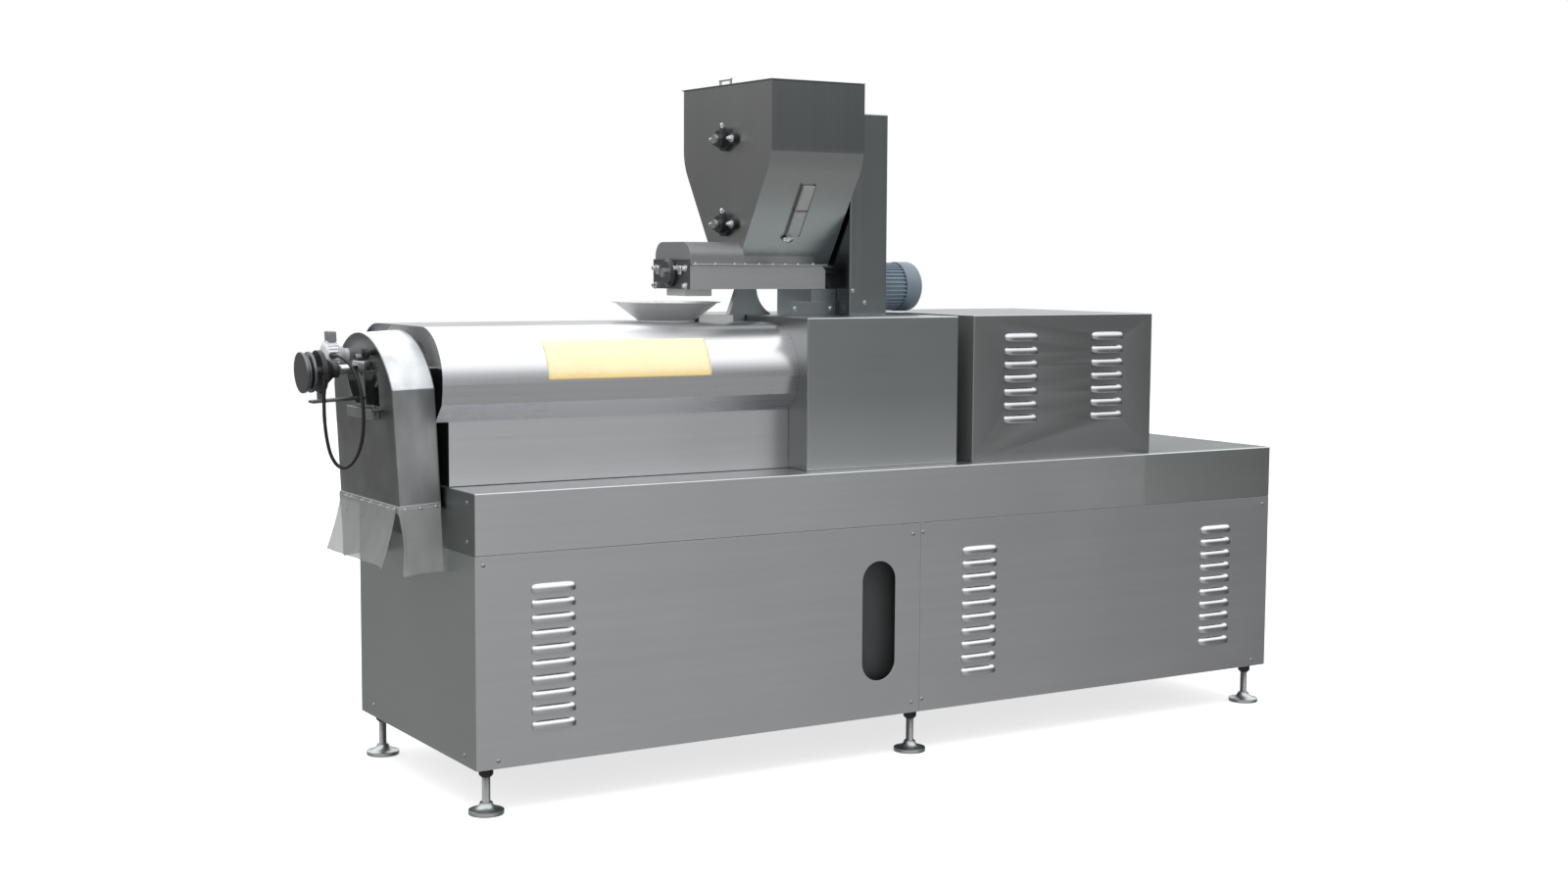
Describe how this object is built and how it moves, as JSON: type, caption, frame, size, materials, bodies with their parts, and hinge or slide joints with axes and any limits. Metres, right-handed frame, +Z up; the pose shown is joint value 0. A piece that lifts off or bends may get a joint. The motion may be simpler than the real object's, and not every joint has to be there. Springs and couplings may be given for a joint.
{
  "type": "snack food extruder",
  "caption": "Screw extruder for snack food: panelled cabinet on levelling feet, covered barrel, gearbox and motor covers, hopper with screw feeder and a hooded rotary cutter.",
  "frame": {"origin": "on the floor, under the centre of the whole machine's outline", "axes": "+X along the machine from the cutter end to the drive end, +Y from the front (operator's side) to the back, +Z up"},
  "size_m": [3.3222, 0.9, 2.1113],
  "materials": {
    "steel_panel": "satin brushed stainless sheet",
    "steel_cover": "satin brushed stainless sheet, in shade",
    "steel_bright": "ground stainless, brighter",
    "steel_perforated": "fine textured stainless sheet",
    "frame_steel": "square tube, grey",
    "foot_steel": "polished",
    "cast_black": "black painted casting",
    "motor_grey": "grey-blue paint",
    "fan_cover_blue": "pale blue-grey paint",
    "motor_silver": "silver-white paint",
    "box_grey": "plain",
    "shaft_steel": "turned and polished",
    "clear_strip": "clear strip over pale backing",
    "flap_pvc": "soft translucent grey PVC",
    "cable_rubber": "black",
    "gland_black": "black",
    "wheel_steel": "dark turned steel"
  },
  "bodies": {
    "machine": {"long_rails": "frame_steel", "cross_rails": "frame_steel", "frame_posts": "frame_steel", "foot_pads": "foot_steel", "foot_stems": "foot_steel", "panel_front_left": "steel_panel", "panel_front_right": "steel_panel", "panel_back_left": "steel_panel", "panel_back_right": "steel_panel", "panel_end_left": "steel_panel", "panel_end_right": "steel_panel", "deck_left": "steel_panel", "deck_right": "steel_panel", "barrel_cover": "steel_panel", "barrel_skirts": "steel_panel", "barrel_end_plate": "steel_cover", "barrel_support": "cast_black", "die_head": "steel_bright", "gearbox_cover": "steel_cover", "motor_cover": "steel_cover", "coupling_guard": "steel_cover", "feed_funnel": "steel_cover", "feeder_trough": "steel_panel", "feeder_cover": "steel_panel", "feeder_end_plate": "steel_cover", "feeder_spout": "steel_cover", "feeder_pedestal": "steel_cover", "feeder_stand": "steel_cover", "hopper": "steel_cover", "lid_hinge": "shaft_steel", "sight_strip": "clear_strip", "agitator_bearings": "cast_black", "drive_tower": "steel_cover", "feeder_motor": "motor_grey", "feeder_fan_cover": "fan_cover_blue", "hood_face": "steel_panel", "hood_wrapper": "steel_perforated", "hood_back": "steel_cover", "hood_flange": "steel_bright", "hood_studs": "shaft_steel", "hood_flaps": "flap_pvc", "window_ledge": "steel_bright", "cutter_bracket": "steel_cover", "cutter_bearing": "cast_black", "cutter_motor": "motor_silver", "cutter_terminal_box": "box_grey", "cable_glands": "gland_black", "cutter_cable": "cable_rubber"},
    "hopper_lid": {"hopper_lid": "steel_cover", "lid_handle": "shaft_steel"},
    "agitator_upper": {"agitator_upper": "shaft_steel"},
    "agitator_lower": {"agitator_lower": "shaft_steel"},
    "feed_screw": {"feed_screw": "shaft_steel"},
    "cutter": {"cutter_wheel": "wheel_steel", "cutter_spindle": "shaft_steel", "cutter_knife": "shaft_steel"}
  },
  "joints": [
    {"name": "lid_swing", "type": "hinge", "parent": "machine", "child": "hopper_lid", "pos_m": [0.06607, 0, 2.0878], "axis": [0, 1, 0], "range_deg": [0, 100]},
    {"name": "upper_agitator_spin", "type": "hinge", "parent": "machine", "child": "agitator_upper", "pos_m": [-0.27893, 0, 1.92], "axis": [1, 0, 0], "continuous": true},
    {"name": "lower_agitator_spin", "type": "hinge", "parent": "machine", "child": "agitator_lower", "pos_m": [-0.27893, 0, 1.655], "axis": [1, 0, 0], "continuous": true},
    {"name": "feed_screw_spin", "type": "hinge", "parent": "machine", "child": "feed_screw", "pos_m": [-0.27893, 0, 1.503], "axis": [1, 0, 0], "continuous": true},
    {"name": "cutter_spin", "type": "hinge", "parent": "machine", "child": "cutter", "pos_m": [-1.35552, 0, 1.23571], "axis": [0.9987, 0, 0.0506], "continuous": true}
  ],
  "couplings": [
    {"joint": "lower_agitator_spin", "follows": "upper_agitator_spin", "ratio": 1},
    {"joint": "feed_screw_spin", "follows": "upper_agitator_spin", "ratio": 1}
  ]
}
